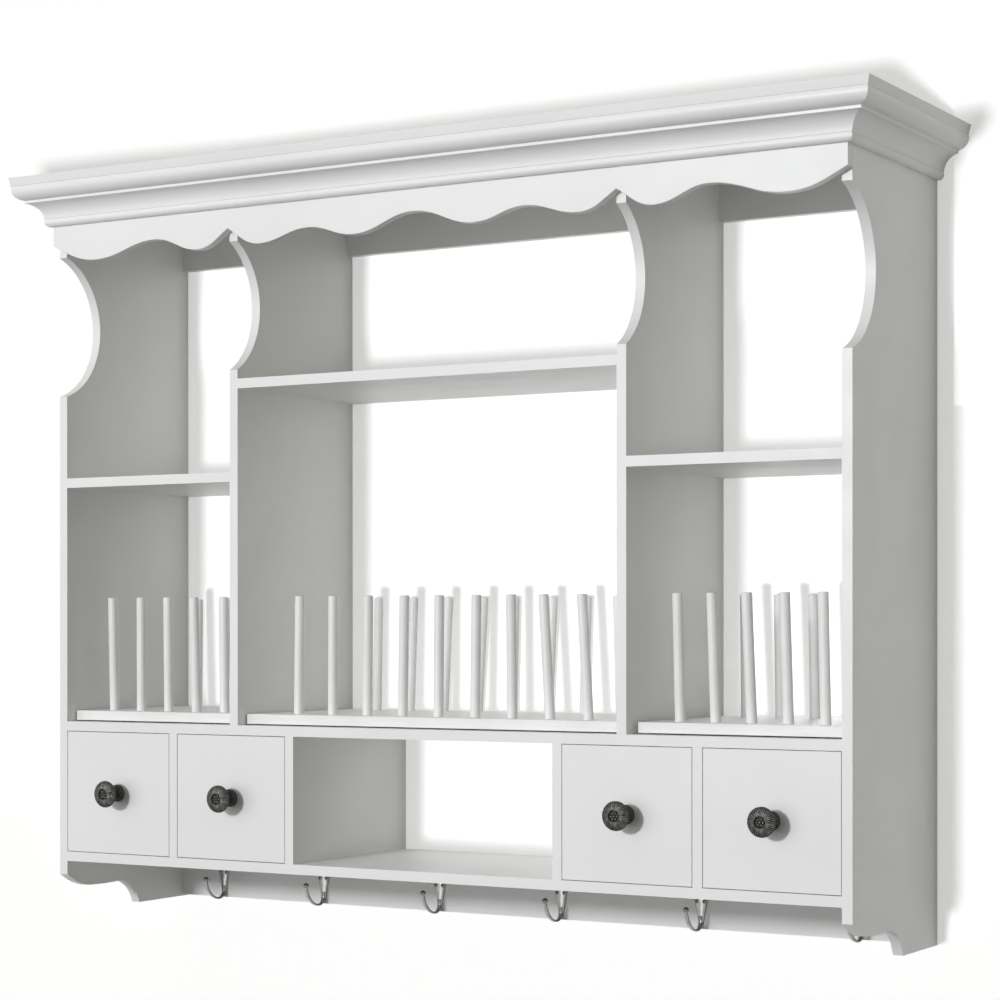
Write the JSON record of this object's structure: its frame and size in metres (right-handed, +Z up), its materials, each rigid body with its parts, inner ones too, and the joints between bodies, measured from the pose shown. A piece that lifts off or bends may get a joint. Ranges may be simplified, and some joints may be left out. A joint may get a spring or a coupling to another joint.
{
  "type": "wall cabinet",
  "caption": "White wall-hung kitchen cabinet with open shelves, plate racks with upright pegs, small drawers round a cubby, a scalloped fascia under a cornice, and coat hooks below.",
  "frame": {"origin": "centre of the four wall screw holes, on the wall plane", "axes": "+X to the right seen from the room, +Y into the wall, +Z up"},
  "size_m": [1.16, 0.302, 0.929],
  "materials": {
    "white_lacquer": "white satin lacquer on fibreboard",
    "rack_white": "white satin lacquer on board and turned pegs",
    "drawer_box_board": "pale painted board inside the drawers",
    "beech": "plain beech dowel",
    "dark_pewter": "antique dark pewter, worn bright on the ridges",
    "nickel": "satin nickel",
    "screw_steel": "dull dark steel"
  },
  "bodies": {
    "carcass": {"bottom_back_rail": "white_lacquer", "bottom_shelf": "white_lacquer", "carcass_dowels": "beech", "cornice_front": "white_lacquer", "cornice_left_return": "white_lacquer", "cornice_right_return": "white_lacquer", "drawer_partition_1": "white_lacquer", "drawer_partition_2": "white_lacquer", "drawer_partition_3": "white_lacquer", "drawer_partition_4": "white_lacquer", "drawer_stops": "drawer_box_board", "fascia": "white_lacquer", "hook_1": "nickel", "hook_2": "nickel", "hook_3": "nickel", "hook_4": "nickel", "hook_5": "nickel", "hook_6": "nickel", "hook_screws": "screw_steel", "left_divider": "white_lacquer", "left_side_panel": "white_lacquer", "left_upper_shelf": "white_lacquer", "middle_upper_shelf": "white_lacquer", "plate_shelf": "white_lacquer", "right_divider": "white_lacquer", "right_side_panel": "white_lacquer", "right_upper_shelf": "white_lacquer", "top_back_rail": "white_lacquer", "top_board": "white_lacquer"},
    "left_rack": {"left_rack_base": "rack_white", "left_rack_pegs": "rack_white"},
    "middle_rack": {"middle_rack_back_pegs": "rack_white", "middle_rack_base": "rack_white", "middle_rack_front_pegs": "rack_white"},
    "right_rack": {"right_rack_base": "rack_white", "right_rack_pegs": "rack_white"},
    "drawer_1": {"drawer_1_back": "drawer_box_board", "drawer_1_bottom": "drawer_box_board", "drawer_1_front": "white_lacquer", "drawer_1_knob": "dark_pewter", "drawer_1_left_side": "drawer_box_board", "drawer_1_right_side": "drawer_box_board"},
    "drawer_2": {"drawer_2_back": "drawer_box_board", "drawer_2_bottom": "drawer_box_board", "drawer_2_front": "white_lacquer", "drawer_2_knob": "dark_pewter", "drawer_2_left_side": "drawer_box_board", "drawer_2_right_side": "drawer_box_board"},
    "drawer_3": {"drawer_3_back": "drawer_box_board", "drawer_3_bottom": "drawer_box_board", "drawer_3_front": "white_lacquer", "drawer_3_knob": "dark_pewter", "drawer_3_left_side": "drawer_box_board", "drawer_3_right_side": "drawer_box_board"},
    "drawer_4": {"drawer_4_back": "drawer_box_board", "drawer_4_bottom": "drawer_box_board", "drawer_4_front": "white_lacquer", "drawer_4_knob": "dark_pewter", "drawer_4_left_side": "drawer_box_board", "drawer_4_right_side": "drawer_box_board"}
  },
  "joints": [
    {"name": "left_rack_slide", "type": "slide", "parent": "carcass", "child": "left_rack", "axis": [0, -1, 0], "range_m": [0, 0.2]},
    {"name": "middle_rack_slide", "type": "slide", "parent": "carcass", "child": "middle_rack", "axis": [0, -1, 0], "range_m": [0, 0.2]},
    {"name": "right_rack_slide", "type": "slide", "parent": "carcass", "child": "right_rack", "axis": [0, -1, 0], "range_m": [0, 0.2]},
    {"name": "drawer_1_slide", "type": "slide", "parent": "carcass", "child": "drawer_1", "axis": [0, -1, 0], "range_m": [0, 0.15]},
    {"name": "drawer_2_slide", "type": "slide", "parent": "carcass", "child": "drawer_2", "axis": [0, -1, 0], "range_m": [0, 0.15]},
    {"name": "drawer_3_slide", "type": "slide", "parent": "carcass", "child": "drawer_3", "axis": [0, -1, 0], "range_m": [0, 0.15]},
    {"name": "drawer_4_slide", "type": "slide", "parent": "carcass", "child": "drawer_4", "axis": [0, -1, 0], "range_m": [0, 0.15]}
  ]
}
